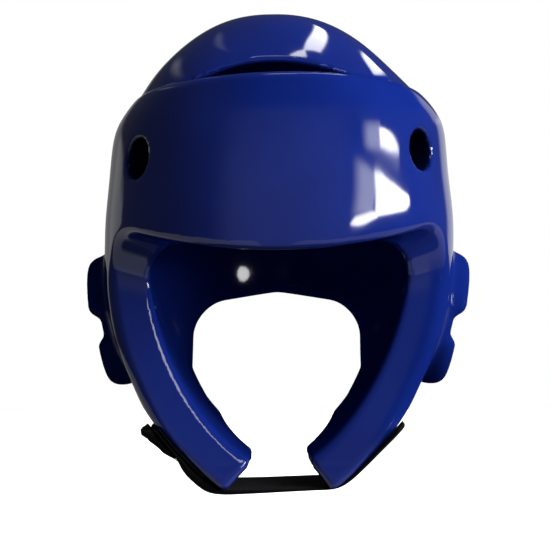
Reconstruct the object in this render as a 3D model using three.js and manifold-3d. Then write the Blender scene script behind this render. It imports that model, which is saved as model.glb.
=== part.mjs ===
// Dipped foam martial arts headgear with an open face, in millimetres, +Z up, facing -Y.
// The origin is the top of the hollow, where the wearer's crown touches the foam.
import * as THREE from 'three';
import Module from 'manifold-3d';
import { LoftGeometry } from 'three/addons/geometries/LoftGeometry.js';
import { mergeVertices } from 'three/addons/utils/BufferGeometryUtils.js';

const wasm = await Module();
wasm.setup();

// Outside of the forehead band, cheeks and back: one row for each level section
const OUTER_SECTIONS = [
  { height: -255.5, halfWidth: 7, front: 117, back: 75, frontSquareness: 3.5 },
  { height: -250.5, halfWidth: 21.5, front: 117, back: 77, frontSquareness: 3.5 },
  { height: -242.6, halfWidth: 35.2, front: 117, back: 81, frontSquareness: 3.5 },
  { height: -231, halfWidth: 49.4, front: 117, back: 87, frontSquareness: 3.5 },
  { height: -220, halfWidth: 60.9, front: 117, back: 92, frontSquareness: 3.5 },
  { height: -210, halfWidth: 69.5, front: 117, back: 96, frontSquareness: 3.5 },
  { height: -200, halfWidth: 75.6, front: 117, back: 100, frontSquareness: 3.5 },
  { height: -184, halfWidth: 83.5, front: 117, back: 105, frontSquareness: 3.35 },
  { height: -164, halfWidth: 91.8, front: 117, back: 110, frontSquareness: 3 },
  { height: -142, halfWidth: 97.2, front: 116.9, back: 113.5, frontSquareness: 2.6 },
  { height: -120, halfWidth: 99.5, front: 116.1, back: 115.3, frontSquareness: 2.35 },
  { height: -100, halfWidth: 99.2, front: 116.5, back: 115.4, frontSquareness: 2.3 },
  { height: -76, halfWidth: 96.8, front: 115.1, back: 114, frontSquareness: 2.3 },
  { height: -56, halfWidth: 94.9, front: 112.9, back: 111.5, frontSquareness: 2.3 },
  { height: -44, halfWidth: 91.2, front: 111.1, back: 109, frontSquareness: 2.3 },
  { height: -35, halfWidth: 84.4, front: 109.5, back: 105.5, frontSquareness: 2.3 },
  { height: -30.5, halfWidth: 79.2, front: 108, back: 102, frontSquareness: 2.3 },
  { height: -28.6, halfWidth: 74.5, front: 104.5, back: 97, frontSquareness: 2.3 },
];

// Inside of the cheeks, forehead and back below the rounded top of the hollow
const INNER_SECTIONS = [
  { height: -233, halfWidth: 8.8, front: 120, back: 68.5, frontSquareness: 3.5 },
  { height: -227, halfWidth: 19.2, front: 120, back: 71, frontSquareness: 3.5 },
  { height: -217, halfWidth: 31.8, front: 120, back: 75, frontSquareness: 3.5 },
  { height: -204, halfWidth: 43.4, front: 120, back: 79, frontSquareness: 3.5 },
  { height: -188, halfWidth: 54, front: 120, back: 83.5, frontSquareness: 3.4 },
  { height: -168, halfWidth: 63.8, front: 120, back: 88, frontSquareness: 3.1 },
  { height: -144, halfWidth: 71.8, front: 120, back: 92, frontSquareness: 2.65 },
  { height: -130, halfWidth: 74.7, front: 117, back: 93, frontSquareness: 2.45 },
  { height: -118, halfWidth: 76, front: 99.5, back: 93.5, frontSquareness: 2.35 },
  { height: -108, halfWidth: 76.2, front: 93.5, back: 93.5, frontSquareness: 2.3 },
  { height: -92, halfWidth: 76.2, front: 93, back: 93.5, frontSquareness: 2.3 },
];
const HOLLOW_TOP = { springing: -75, halfWidth: 75.5, front: 92, back: 92.5, fullness: 2.2, flat: 14 };
const BACK_SQUARENESS = 2.3;
const RING_POINTS = 44;
const HOLLOW_TOP_ROWS = 7;

// Crown: a bell that stands up inside the forehead band, with a round top and long straight flanks
const CROWN = {
  centreY: 4, baseZ: -72.3, startZ: -47, rise: 91.3,
  halfWidth: 108, halfLength: 122, flank: 0.9, top: 2.3,
};
const CROWN_ROWS = 10;
const CROWN_TIP_ANGLE = 87 * Math.PI / 180;

// Vent slit over the top edge of the forehead band: the crown's front lip is an arch seen from the front
const SLIT = { middleZ: -16.5, sideZ: -31.6, sideX: 60, floorZ: -60, frontY: -130, backY: -45 };

// Face opening: the flat front faces of the cheeks seen from the side, and the brow seen from the front
const FACE = { topY: -48.7, topZ: -107, bottomY: -89, bottomZ: -258, corner: 40, frontY: -150 };
const BROW = { middleZ: -118.5, sideZ: -107.5, sideX: 84, reachX: 130 };

// Chin gap between the tips of the cheeks, seen from the front
const CHIN_GAP = { innerX: 16.2, innerZ: -228, outerX: 31.2, outerZ: -242.8, floorZ: -275 };

// Lower rim, seen from the side, from the chin tips back to the nape
const LOWER_RIM = [
  { y: -130, z: -262 },
  { y: -60, z: -242.6 },
  { y: -40, z: -239.5 },
  { y: -20, z: -233 },
  { y: 20, z: -220 },
  { y: 60, z: -203 },
  { y: 130, z: -168 },
];

// Arch over the nape, seen from behind
const NAPE = {
  halfWidth: 53, peakZ: -142, shoulderX: 36, shoulderZ: -148,
  cornerZ: -166, sideZ: -190, startY: 30,
};

// Temple vents: round holes square to the surface
const TEMPLE_VENT = { x: 75, y: -78, z: -68, radius: 10, turn: 55 * Math.PI / 180, reach: 32 };

// Ear cups: tilted round pads with a shallow level groove and a hearing hole
const EAR_CUP = { x: 104.2, y: 2, z: -160, radius: 39.5, rimRadius: 9, depth: 34, tilt: 16 * Math.PI / 180 };
const EAR_GROOVE = { radius: 15, floorX: 99, z: -165.5, length: 110 };
const EAR_HOLE = { radius: 13, length: 110 };

// Chin strap: elastic webbing laid round the tips of the cheeks
const STRAP = { frontY: -82, width: 48, thickness: 1.8, endZ: -212, tilt: 1.2, clearance: 0.5, slack: 3 };
const STRAP_BRIDGE = { rightZ: -242.2, leftZ: -237, z: -244.2, halfLength: 33, slackZ: -222 };
const BAND_POINTS = [-1, -0.5, 0, 0.5, 1];
const STRAP_STEPS = 9;
const BRIDGE_STEPS = 4;

// Hook and loop closure on one cheek, under and over the strap
const LOOP_PATCH = { thickness: 1.6, width: 46, bottomZ: -235, topZ: -212, clearance: 0.5, steps: 7 };
const HOOK_TAB = { thickness: 2.2, width: 46, bottomZ: -226, topZ: -210.5, lift: 0.8, flare: 2.6, steps: 5 };

const FOAM_BLUE = { color: 0x14246b, roughness: 0.2, metalness: 0 };
const WEBBING_BLACK = { color: 0x0b0d10, roughness: 0.85, metalness: 0 };

function lerp(a, b, t) {
  return a + (b - a) * t;
}

function signedPower(value, power) {
  return Math.sign(value) * Math.abs(value) ** power;
}

// A level ring: a superellipse with its own reach to the front and to the back
function levelRing({ height, halfWidth, front, back, frontSquareness }, centreY = 0) {
  const ring = [];
  for (let i = 0; i < RING_POINTS; i++) {
    const angle = 2 * Math.PI * i / RING_POINTS;
    const ahead = Math.cos(angle) > 0;
    const power = 2 / (ahead ? frontSquareness : BACK_SQUARENESS);
    const x = halfWidth * signedPower(Math.sin(angle), power);
    const y = -(ahead ? front : back) * signedPower(Math.cos(angle), power);
    ring.push(new THREE.Vector3(x, y + centreY, height));
  }
  return ring;
}

function loft(sections) {
  const skinned = new LoftGeometry(sections, { closed: true, capStart: true, capEnd: true });
  return new THREE.BufferGeometry().copy(skinned);
}

function solid(geometry) {
  geometry.deleteAttribute('normal');
  geometry.deleteAttribute('uv');
  const merged = mergeVertices(geometry);
  const mesh = new wasm.Mesh({
    numProp: 3,
    vertProperties: new Float32Array(merged.attributes.position.array),
    triVerts: new Uint32Array(merged.index.array),
  });
  return new wasm.Manifold(mesh);
}

function geometryOf(body) {
  const mesh = body.getMesh();
  const geometry = new THREE.BufferGeometry();
  geometry.setAttribute('position', new THREE.BufferAttribute(mesh.vertProperties, 3));
  geometry.setIndex(new THREE.BufferAttribute(mesh.triVerts, 1));
  geometry.computeVertexNormals();
  return geometry;
}

// A shape drawn in x and z, carried along y
function prismAlongY(shape, fromY, toY) {
  const options = { depth: toY - fromY, bevelEnabled: false, curveSegments: 8 };
  return new THREE.ExtrudeGeometry(shape, options).rotateX(Math.PI / 2).translate(0, toY, 0);
}

// A shape drawn in y and z, carried along x to both sides
function prismAlongX(shape, halfLength) {
  const options = { depth: 2 * halfLength, bevelEnabled: false, curveSegments: 6 };
  const toSide = new THREE.Matrix4().makeBasis(
    new THREE.Vector3(0, 1, 0),
    new THREE.Vector3(0, 0, 1),
    new THREE.Vector3(1, 0, 0),
  );
  return new THREE.ExtrudeGeometry(shape, options).applyMatrix4(toSide).translate(-halfLength, 0, 0);
}

function crownGeometry() {
  const sections = [];
  const startRise = (CROWN.startZ - CROWN.baseZ) / CROWN.rise;
  const startAngle = Math.asin(startRise ** (CROWN.flank / 2));
  for (let i = 0; i <= CROWN_ROWS; i++) {
    const angle = lerp(startAngle, CROWN_TIP_ANGLE, i / CROWN_ROWS);
    const spread = Math.cos(angle) ** (2 / CROWN.top);
    sections.push(levelRing({
      height: CROWN.baseZ + CROWN.rise * Math.sin(angle) ** (2 / CROWN.flank),
      halfWidth: CROWN.halfWidth * spread,
      front: CROWN.halfLength * spread,
      back: CROWN.halfLength * spread,
      frontSquareness: BACK_SQUARENESS,
    }, CROWN.centreY));
  }
  return loft(sections);
}

// The hollow for the head: cheeks and forehead below, closed by a rounded top with its flat seat at z = 0
function hollowGeometry() {
  const sections = INNER_SECTIONS.map((row) => levelRing(row));
  const tipSpread = HOLLOW_TOP.flat / HOLLOW_TOP.halfWidth;
  const tipAngle = Math.acos(tipSpread ** (HOLLOW_TOP.fullness / 2));
  const rise = -HOLLOW_TOP.springing / Math.sin(tipAngle) ** (2 / HOLLOW_TOP.fullness);
  for (let i = 0; i <= HOLLOW_TOP_ROWS; i++) {
    const angle = tipAngle * i / HOLLOW_TOP_ROWS;
    const spread = Math.cos(angle) ** (2 / HOLLOW_TOP.fullness);
    sections.push(levelRing({
      height: HOLLOW_TOP.springing + rise * Math.sin(angle) ** (2 / HOLLOW_TOP.fullness),
      halfWidth: HOLLOW_TOP.halfWidth * spread,
      front: HOLLOW_TOP.front * spread,
      back: HOLLOW_TOP.back * spread,
      frontSquareness: BACK_SQUARENESS,
    }));
  }
  return loft(sections);
}

// In front of the cheeks' flat faces and under the arched brow
function faceOpening() {
  const side = new THREE.Shape();
  const down = new THREE.Vector2(FACE.bottomY - FACE.topY, FACE.bottomZ - FACE.topZ).setLength(FACE.corner);
  side.moveTo(FACE.bottomY, FACE.bottomZ - 30);
  side.lineTo(FACE.bottomY, FACE.bottomZ);
  side.lineTo(FACE.topY + down.x, FACE.topZ + down.y);
  side.quadraticCurveTo(FACE.topY, FACE.topZ, FACE.topY - FACE.corner, FACE.topZ);
  side.lineTo(FACE.frontY, FACE.topZ);
  side.lineTo(FACE.frontY, FACE.bottomZ - 30);
  side.closePath();
  const edgeZ = BROW.middleZ + (BROW.sideZ - BROW.middleZ) * (BROW.reachX / BROW.sideX) ** 2;
  const brow = new THREE.Shape();
  brow.moveTo(-BROW.reachX, FACE.bottomZ - 40);
  brow.lineTo(BROW.reachX, FACE.bottomZ - 40);
  brow.lineTo(BROW.reachX, edgeZ);
  brow.quadraticCurveTo(0, 2 * BROW.middleZ - edgeZ, -BROW.reachX, edgeZ);
  brow.closePath();
  return solid(prismAlongX(side, BROW.reachX)).intersect(solid(prismAlongY(brow, FACE.frontY - 5, 0)));
}

function underside() {
  const shape = new THREE.Shape();
  const first = LOWER_RIM[0];
  const last = LOWER_RIM[LOWER_RIM.length - 1];
  shape.moveTo(last.y, CHIN_GAP.floorZ);
  for (const { y, z } of LOWER_RIM.toReversed()) {
    shape.lineTo(y, z);
  }
  shape.lineTo(first.y, CHIN_GAP.floorZ);
  shape.closePath();
  return solid(prismAlongX(shape, BROW.reachX));
}

function chinGap() {
  const slope = (CHIN_GAP.outerX - CHIN_GAP.innerX) / (CHIN_GAP.innerZ - CHIN_GAP.outerZ);
  const floorX = CHIN_GAP.outerX + slope * (CHIN_GAP.outerZ - CHIN_GAP.floorZ);
  const apexZ = CHIN_GAP.innerZ + CHIN_GAP.innerX / slope;
  const shape = new THREE.Shape();
  shape.moveTo(0, apexZ);
  shape.lineTo(-floorX, CHIN_GAP.floorZ);
  shape.lineTo(floorX, CHIN_GAP.floorZ);
  shape.closePath();
  return solid(prismAlongY(shape, FACE.frontY, 110));
}

// The arch is no wider than the hollow, so its sides follow the inside of the cheeks further down
function napeArch() {
  const narrow = INNER_SECTIONS.filter((row) => row.halfWidth < NAPE.halfWidth);
  const shape = new THREE.Shape();
  shape.moveTo(-narrow[0].halfWidth, CHIN_GAP.floorZ);
  shape.lineTo(narrow[0].halfWidth, CHIN_GAP.floorZ);
  for (const { halfWidth, height } of narrow) {
    shape.lineTo(halfWidth, height);
  }
  shape.lineTo(NAPE.halfWidth, NAPE.sideZ);
  shape.lineTo(NAPE.halfWidth, NAPE.cornerZ);
  shape.quadraticCurveTo(NAPE.halfWidth, NAPE.shoulderZ - 4, NAPE.shoulderX, NAPE.shoulderZ);
  shape.lineTo(0, NAPE.peakZ);
  shape.lineTo(-NAPE.shoulderX, NAPE.shoulderZ);
  shape.quadraticCurveTo(-NAPE.halfWidth, NAPE.shoulderZ - 4, -NAPE.halfWidth, NAPE.cornerZ);
  shape.lineTo(-NAPE.halfWidth, NAPE.sideZ);
  for (const { halfWidth, height } of narrow.toReversed()) {
    shape.lineTo(-halfWidth, height);
  }
  shape.closePath();
  return solid(prismAlongY(shape, NAPE.startY, 150));
}

// Under the arch of the crown's front lip, from outside to the hollow
function crownSlit() {
  const shape = new THREE.Shape();
  shape.moveTo(-SLIT.sideX, SLIT.floorZ);
  shape.lineTo(SLIT.sideX, SLIT.floorZ);
  shape.lineTo(SLIT.sideX, SLIT.sideZ);
  shape.quadraticCurveTo(0, 2 * SLIT.middleZ - SLIT.sideZ, -SLIT.sideX, SLIT.sideZ);
  shape.closePath();
  return solid(prismAlongY(shape, SLIT.frontY, SLIT.backY));
}

function templeVent(side) {
  const { radius, reach } = TEMPLE_VENT;
  const geometry = new THREE.CylinderGeometry(radius, radius, 2 * reach, 24);
  geometry.rotateZ(side * TEMPLE_VENT.turn);
  geometry.translate(side * TEMPLE_VENT.x, TEMPLE_VENT.y, TEMPLE_VENT.z);
  return solid(geometry);
}

// Carries a piece made round the y axis to an ear, pointing outwards and a little down
function turnedToEar(geometry, side) {
  geometry.rotateZ(-side * Math.PI / 2);
  geometry.rotateY(side * EAR_CUP.tilt);
  return geometry.translate(side * EAR_CUP.x, EAR_CUP.y, EAR_CUP.z);
}

// A round pad with a rounded rim
function earCup(side) {
  const { radius, rimRadius, depth } = EAR_CUP;
  const profile = [new THREE.Vector2(0, -depth), new THREE.Vector2(radius, -depth)];
  for (let i = 0; i <= 4; i++) {
    const angle = Math.PI / 2 * i / 4;
    profile.push(new THREE.Vector2(
      radius - rimRadius * (1 - Math.cos(angle)),
      -rimRadius * (1 - Math.sin(angle)),
    ));
  }
  profile.push(new THREE.Vector2(0, 0));
  const geometry = new THREE.LatheGeometry(profile, 36);
  return solid(turnedToEar(geometry, side));
}

function earGroove(side) {
  const geometry = new THREE.CylinderGeometry(EAR_GROOVE.radius, EAR_GROOVE.radius, EAR_GROOVE.length, 24);
  geometry.translate(side * (EAR_GROOVE.floorX + EAR_GROOVE.radius), EAR_CUP.y, EAR_GROOVE.z);
  return solid(geometry);
}

function earHole(side) {
  const geometry = new THREE.CylinderGeometry(EAR_HOLE.radius, EAR_HOLE.radius, EAR_HOLE.length, 24);
  return solid(turnedToEar(geometry, side));
}

function shellGeometry() {
  const crown = solid(crownGeometry()).subtract(crownSlit());
  let body = solid(loft(OUTER_SECTIONS.map((row) => levelRing(row)))).add(crown);
  for (const side of [-1, 1]) {
    body = body.add(earCup(side).subtract(earGroove(side)));
  }
  body = body.subtract(solid(hollowGeometry()));
  body = body.subtract(faceOpening()).subtract(underside()).subtract(chinGap()).subtract(napeArch());
  for (const side of [-1, 1]) {
    body = body.subtract(templeVent(side)).subtract(earHole(side));
  }
  return geometryOf(body);
}

// Half width of the outside at a height and a distance back, from the section table
function outerHalfWidth(y, z) {
  const upper = Math.max(1, OUTER_SECTIONS.findIndex((row) => row.height >= z));
  const below = OUTER_SECTIONS[upper - 1];
  const above = OUTER_SECTIONS[upper];
  const t = (z - below.height) / (above.height - below.height);
  const halfWidth = lerp(below.halfWidth, above.halfWidth, t);
  const reach = lerp(below.front, above.front, t);
  const squareness = lerp(below.frontSquareness, above.frontSquareness, t);
  return halfWidth * (1 - Math.abs(y / reach) ** squareness) ** (1 / squareness);
}

// A section across a band: the inner face at its front and back edge, then the outer face
function bandSection(inner, outward, thickness) {
  const corners = inner.map((point) => point.clone());
  for (const point of inner.toReversed()) {
    corners.push(point.clone().addScaledVector(outward, thickness));
  }
  return corners;
}

// Outward direction of the cheek in the front view, at the middle of the strap
function cheekNormal(side, z) {
  const y = STRAP.frontY + STRAP.width / 2;
  const step = 3;
  const run = outerHalfWidth(y, z + step) - outerHalfWidth(y, z - step);
  return new THREE.Vector3(side * 2 * step, 0, -run).normalize();
}

// Points on the cheek, from the front edge of a band to its back edge, lifted off by a gap
function cheekEdge(side, z, width, gap) {
  const middle = STRAP.frontY + STRAP.width / 2;
  const points = [];
  for (const k of BAND_POINTS) {
    const y = middle + k * width / 2;
    const point = new THREE.Vector3(side * outerHalfWidth(y, z), y, z);
    points.push(point.addScaledVector(cheekNormal(side, z), gap));
  }
  return points;
}

function bridgeEdge(x) {
  const middle = STRAP.frontY + STRAP.width / 2;
  return BAND_POINTS.map((k) => new THREE.Vector3(
    x,
    middle + k * STRAP.width / 2,
    STRAP_BRIDGE.z + k * STRAP.tilt / 2,
  ));
}

// How far the strap stands off the cheek over the loop patch
function patchGap() {
  return LOOP_PATCH.clearance + LOOP_PATCH.thickness + STRAP.clearance;
}

function chinStrapGeometry() {
  const sections = [];
  for (let i = 0; i < STRAP_STEPS; i++) {
    const z = lerp(STRAP.endZ, STRAP_BRIDGE.rightZ, i / (STRAP_STEPS - 1));
    const edge = cheekEdge(1, z, STRAP.width, STRAP.clearance);
    sections.push(bandSection(edge, cheekNormal(1, z), STRAP.thickness));
  }
  const down = new THREE.Vector3(0, 0, -1);
  for (let i = 0; i < BRIDGE_STEPS; i++) {
    const x = lerp(STRAP_BRIDGE.halfLength, -STRAP_BRIDGE.halfLength, i / (BRIDGE_STEPS - 1));
    sections.push(bandSection(bridgeEdge(x), down, STRAP.thickness));
  }
  for (let i = 0; i < STRAP_STEPS; i++) {
    const z = lerp(STRAP_BRIDGE.leftZ, STRAP.endZ, i / (STRAP_STEPS - 1));
    const taut = THREE.MathUtils.smoothstep(z, STRAP_BRIDGE.leftZ, STRAP_BRIDGE.slackZ);
    const edge = cheekEdge(-1, z, STRAP.width, patchGap() + STRAP.slack * (1 - taut));
    sections.push(bandSection(edge, cheekNormal(-1, z), STRAP.thickness));
  }
  return geometryOf(solid(loft(sections)));
}

function loopPatchGeometry() {
  const sections = [];
  for (let i = 0; i < LOOP_PATCH.steps; i++) {
    const z = lerp(LOOP_PATCH.bottomZ, LOOP_PATCH.topZ, i / (LOOP_PATCH.steps - 1));
    const edge = cheekEdge(-1, z, LOOP_PATCH.width, LOOP_PATCH.clearance);
    sections.push(bandSection(edge, cheekNormal(-1, z), LOOP_PATCH.thickness));
  }
  return geometryOf(solid(loft(sections)));
}

function hookTabGeometry() {
  const sections = [];
  const seat = patchGap() + STRAP.thickness + HOOK_TAB.lift;
  for (let i = 0; i < HOOK_TAB.steps; i++) {
    const t = i / (HOOK_TAB.steps - 1);
    const z = lerp(HOOK_TAB.bottomZ, HOOK_TAB.topZ, t);
    const edge = cheekEdge(-1, z, HOOK_TAB.width, seat);
    sections.push(bandSection(edge, cheekNormal(-1, z), HOOK_TAB.thickness + HOOK_TAB.flare * t * t));
  }
  return geometryOf(solid(loft(sections)));
}

function named(name, geometry, finish) {
  const mesh = new THREE.Mesh(geometry, new THREE.MeshStandardMaterial(finish));
  mesh.name = name;
  return mesh;
}

const headgear = new THREE.Group();
headgear.add(named('shell', shellGeometry(), FOAM_BLUE));
headgear.add(named('chin_strap', chinStrapGeometry(), WEBBING_BLACK));
headgear.add(named('cheek_loop_patch', loopPatchGeometry(), WEBBING_BLACK));
headgear.add(named('strap_hook_tab', hookTabGeometry(), WEBBING_BLACK));

export default headgear;
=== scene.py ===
import math

import bpy
import numpy as np
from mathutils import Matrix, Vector


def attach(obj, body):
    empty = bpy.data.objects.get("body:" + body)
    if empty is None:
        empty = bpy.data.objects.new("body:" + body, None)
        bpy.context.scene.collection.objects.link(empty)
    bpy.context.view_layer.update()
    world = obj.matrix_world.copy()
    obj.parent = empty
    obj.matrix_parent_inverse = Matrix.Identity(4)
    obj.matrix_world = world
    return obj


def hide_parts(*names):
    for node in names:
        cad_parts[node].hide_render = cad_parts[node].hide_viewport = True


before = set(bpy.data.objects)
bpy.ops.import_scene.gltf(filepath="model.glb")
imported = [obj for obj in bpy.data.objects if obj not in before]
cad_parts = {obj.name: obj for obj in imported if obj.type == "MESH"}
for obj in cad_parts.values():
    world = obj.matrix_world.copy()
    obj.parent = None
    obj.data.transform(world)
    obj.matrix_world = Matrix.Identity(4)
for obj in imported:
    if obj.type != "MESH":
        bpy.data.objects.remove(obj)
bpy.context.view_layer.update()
mm = 0.001  # the shapes below are worked out in millimetres and put into meshes in metres


# Shared numpy helpers

def smoothStep(value, low, high):
    # 0 below low, 1 above high, an S curve between
    t = np.clip((value - low) / (high - low), 0.0, 1.0)
    return t * t * (3.0 - 2.0 * t)


def towards(low, high, share):
    # low where the share is 0 and high where it is 1
    return low + (high - low) * share


def cubicThrough(knots, heights):
    # natural cubic spline: second derivatives from one linear system, then a cubic in each span
    knots = np.asarray(knots, float)
    heights = np.asarray(heights, float)
    gap = np.diff(knots)
    rise = np.diff(heights) / gap
    system = np.eye(len(knots))
    target = np.zeros(len(knots))
    inner = np.arange(1, len(knots) - 1)
    system[inner, inner - 1] = gap[:-1]
    system[inner, inner] = 2.0 * (gap[:-1] + gap[1:])
    system[inner, inner + 1] = gap[1:]
    target[inner] = 6.0 * (rise[1:] - rise[:-1])
    bend = np.linalg.solve(system, target)

    def at(value):
        value = np.clip(value, knots[0], knots[-1])
        i = np.clip(np.searchsorted(knots, value, side="right") - 1, 0, len(gap) - 1)
        a = (knots[i + 1] - value) / gap[i]
        b = (value - knots[i]) / gap[i]
        curve = (a ** 3 - a) * bend[i] + (b ** 3 - b) * bend[i + 1]
        return a * heights[i] + b * heights[i + 1] + curve * gap[i] ** 2 / 6.0

    return at


def roundBoth(a, b, radius):
    # keeps what is inside both solids, with a round of this radius on the edge between them
    corner = np.hypot(np.maximum(a + radius, 0.0), np.maximum(b + radius, 0.0))
    return np.minimum(np.maximum(a, b), -radius) + corner


def roundEither(a, b, radius):
    # joins two solids, with a fillet of this radius in the corner between them
    corner = np.hypot(np.maximum(radius - a, 0.0), np.maximum(radius - b, 0.0))
    return np.maximum(np.minimum(a, b), radius) - corner


def asDistance(field, x, y, z, step=0.25, leastSlope=1e-4):
    # a field divided by its slope is close to the distance from its surface
    here = field(x, y, z)
    slopeX = field(x + step, y, z) - here
    slopeY = field(x, y + step, z) - here
    slopeZ = field(x, y, z + step) - here
    slope = np.sqrt(slopeX ** 2 + slopeY ** 2 + slopeZ ** 2) / step
    return here / np.maximum(slope, leastSlope)


def planNorm(x, y, halfWidth, front, back, frontPower, backPower):
    # superellipse seen from above: 1 on the outline, with its own reach to the front and to the back
    power = np.where(y < 0.0, frontPower, backPower)
    reach = np.where(y < 0.0, front, back)
    return ((np.abs(x) / halfWidth) ** power + (np.abs(y) / reach) ** power) ** (1.0 / power)


def surfaceNet(values, corner, cell):
    # one vertex in each cell that the surface crosses, at the mean of its edge crossings,
    # and one quad round each grid edge that the surface crosses
    shape = np.array(values.shape)
    total = np.zeros(tuple(shape - 1) + (3,))
    count = np.zeros(tuple(shape - 1))
    crossings = []
    for axis in range(3):
        low = [slice(None)] * 3
        high = [slice(None)] * 3
        low[axis] = slice(0, -1)
        high[axis] = slice(1, None)
        v0 = values[tuple(low)]
        v1 = values[tuple(high)]
        crossed = (v0 < 0.0) != (v1 < 0.0)
        share = np.where(crossed, v0 / np.where(crossed, v0 - v1, 1.0), 0.0)
        grid = np.indices(v0.shape).astype(float)
        grid[axis] += share
        others = [a for a in range(3) if a != axis]
        for j in range(2):
            for k in range(2):
                part = [slice(None)] * 3
                part[others[0]] = slice(j, shape[others[0]] - 1 + j)
                part[others[1]] = slice(k, shape[others[1]] - 1 + k)
                part = tuple(part)
                count += crossed[part]
                for d in range(3):
                    total[..., d] += np.where(crossed[part], grid[d][part], 0.0)
        crossings.append((crossed, v0 < 0.0, others))
    active = count > 0
    index = np.full(active.shape, -1)
    index[active] = np.arange(np.count_nonzero(active))
    points = total[active] / count[active][:, None] * cell + corner
    quads = []
    for axis, (crossed, startsInside, others) in enumerate(crossings):
        cells = np.argwhere(crossed)
        inside = startsInside[crossed]
        a, b = others
        keep = (cells[:, a] > 0) & (cells[:, b] > 0)
        keep &= (cells[:, a] < shape[a] - 1) & (cells[:, b] < shape[b] - 1)
        cells = cells[keep]
        inside = inside[keep] != (axis == 1)
        ring = []
        for stepA, stepB in ((1, 1), (0, 1), (0, 0), (1, 0)):
            at = cells.copy()
            at[:, a] -= stepA
            at[:, b] -= stepB
            ring.append(index[tuple(at.T)])
        ring = np.stack(ring, axis=1)
        ring[~inside] = ring[~inside, ::-1]
        quads.append(ring)
    return points, np.concatenate(quads)


def relax(points, quads):
    # each vertex moves half way to the mean of the vertices that share an edge with it
    starts = np.concatenate([quads[:, i] for i in range(4)])
    ends = np.concatenate([quads[:, (i + 1) % 4] for i in range(4)])
    size = len(points)
    count = np.bincount(starts, minlength=size) + np.bincount(ends, minlength=size)
    mean = np.empty_like(points)
    for d in range(3):
        pulled = np.bincount(starts, points[ends, d], size) + np.bincount(ends, points[starts, d], size)
        mean[:, d] = pulled / np.maximum(count, 1)
    return 0.5 * (points + mean)


def meshObject(name, points, quads, material):
    # a smooth mesh from an array of points in millimetres and an array of quads
    mesh = bpy.data.meshes.new(name)
    mesh.vertices.add(len(points))
    mesh.vertices.foreach_set("co", (points * mm).astype(np.float32).ravel())
    mesh.loops.add(quads.size)
    mesh.loops.foreach_set("vertex_index", quads.astype(np.int32).ravel())
    mesh.polygons.add(len(quads))
    mesh.polygons.foreach_set("loop_start", np.arange(0, quads.size, 4, dtype=np.int32))
    mesh.polygons.foreach_set("use_smooth", np.full(len(quads), True))
    mesh.update(calc_edges=True)
    mesh.validate()
    mesh.materials.append(material)
    piece = bpy.data.objects.new(name, mesh)
    bpy.context.scene.collection.objects.link(piece)
    return piece


# Shader maths: a wrapped socket with the operators that the materials use

class Value:
    def __init__(self, tree, socket):
        self.tree = tree
        self.socket = socket

    def node(self, kind, settings=None, output=0, **inputs):
        # any node: its settings first, then the values or links of its sockets by name or number
        made = self.tree.nodes.new(kind)
        for key, value in (settings or {}).items():
            setattr(made, key, value)
        for key, value in inputs.items():
            name = int(key[1:]) if key[0] == "i" and key[1:].isdigit() else key.replace("_", " ")
            if isinstance(value, Value):
                self.tree.links.new(value.socket, made.inputs[name])
            else:
                made.inputs[name].default_value = value
        return Value(self.tree, made.outputs[output])

    def maths(self, operation, *values):
        inputs = {"i" + str(n): value for n, value in enumerate(values)}
        return self.node("ShaderNodeMath", {"operation": operation}, **inputs)

    def __add__(self, other):
        return self.maths("ADD", self, other)

    __radd__ = __add__

    def __sub__(self, other):
        return self.maths("SUBTRACT", self, other)

    def __rsub__(self, other):
        return self.maths("SUBTRACT", other, self)

    def __mul__(self, other):
        return self.maths("MULTIPLY", self, other)

    __rmul__ = __mul__

    def parts(self):
        # the three numbers of a vector
        split = self.node("ShaderNodeSeparateXYZ", Vector=self).socket.node
        return [Value(self.tree, socket) for socket in split.outputs]

    def blend(self, low, high):
        # colour low where this value is 0 and high where it is 1
        settings = {"data_type": "RGBA"}
        return self.node("ShaderNodeMix", settings, output=2, i0=self, i6=low, i7=high)

    def between(self, low, high):
        # a smooth step from 0 at low to 1 at high
        settings = {"interpolation_type": "SMOOTHSTEP"}
        return self.node("ShaderNodeMapRange", settings, i0=self, i1=low, i2=high)

    def noise(self, scale, detail, roughness):
        return self.node("ShaderNodeTexNoise", Vector=self, Scale=scale, Detail=detail, Roughness=roughness)

    def attribute(self, name):
        return self.node("ShaderNodeAttribute", {"attribute_name": name}, output=2)

    def bump(self, strength, distance):
        return self.node("ShaderNodeBump", Strength=strength, Distance=distance, Height=self)


def newMaterial(name):
    # a material with its Principled shader, and the object and UV coordinates to draw on
    material = bpy.data.materials.new(name)
    material.use_nodes = True
    tree = material.node_tree
    shader = tree.nodes["Principled BSDF"]
    coordinates = tree.nodes.new("ShaderNodeTexCoord")
    place = Value(tree, coordinates.outputs["Object"])
    flat = Value(tree, coordinates.outputs["UV"])
    return material, shader, place, flat


def feed(shader, **inputs):
    # numbers go on the shader's own sockets, and values that vary are linked
    for key, value in inputs.items():
        socket = shader.inputs[key.replace("_", " ")]
        if isinstance(value, Value):
            value.tree.links.new(value.socket, socket)
        else:
            socket.default_value = value


# Materials: a noise is its scale, detail and roughness, and a span is where it starts and ends

dipFinish = {
    "deep": (0.0062, 0.0215, 0.225, 1.0), "full": (0.0075, 0.0262, 0.262, 1.0),
    # dark is the colour that painted shade pulls the skin towards
    "dark": (0.0004, 0.001, 0.008, 1.0),
    "cloud": (22.0, 3.0, 0.5), "cloudSpan": (0.3, 0.7),
    "smear": (60.0, 4.0, 0.6), "smearSpan": (0.35, 0.75),
    "peel": (420.0, 2.0, 0.5), "peelStrength": 0.03, "peelHeight": 0.0004,
    "roughness": 0.32, "smearRoughness": 0.08, "dullRoughness": 0.55,
    "coatRoughness": 0.06, "coatIor": 1.65,
}


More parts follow.
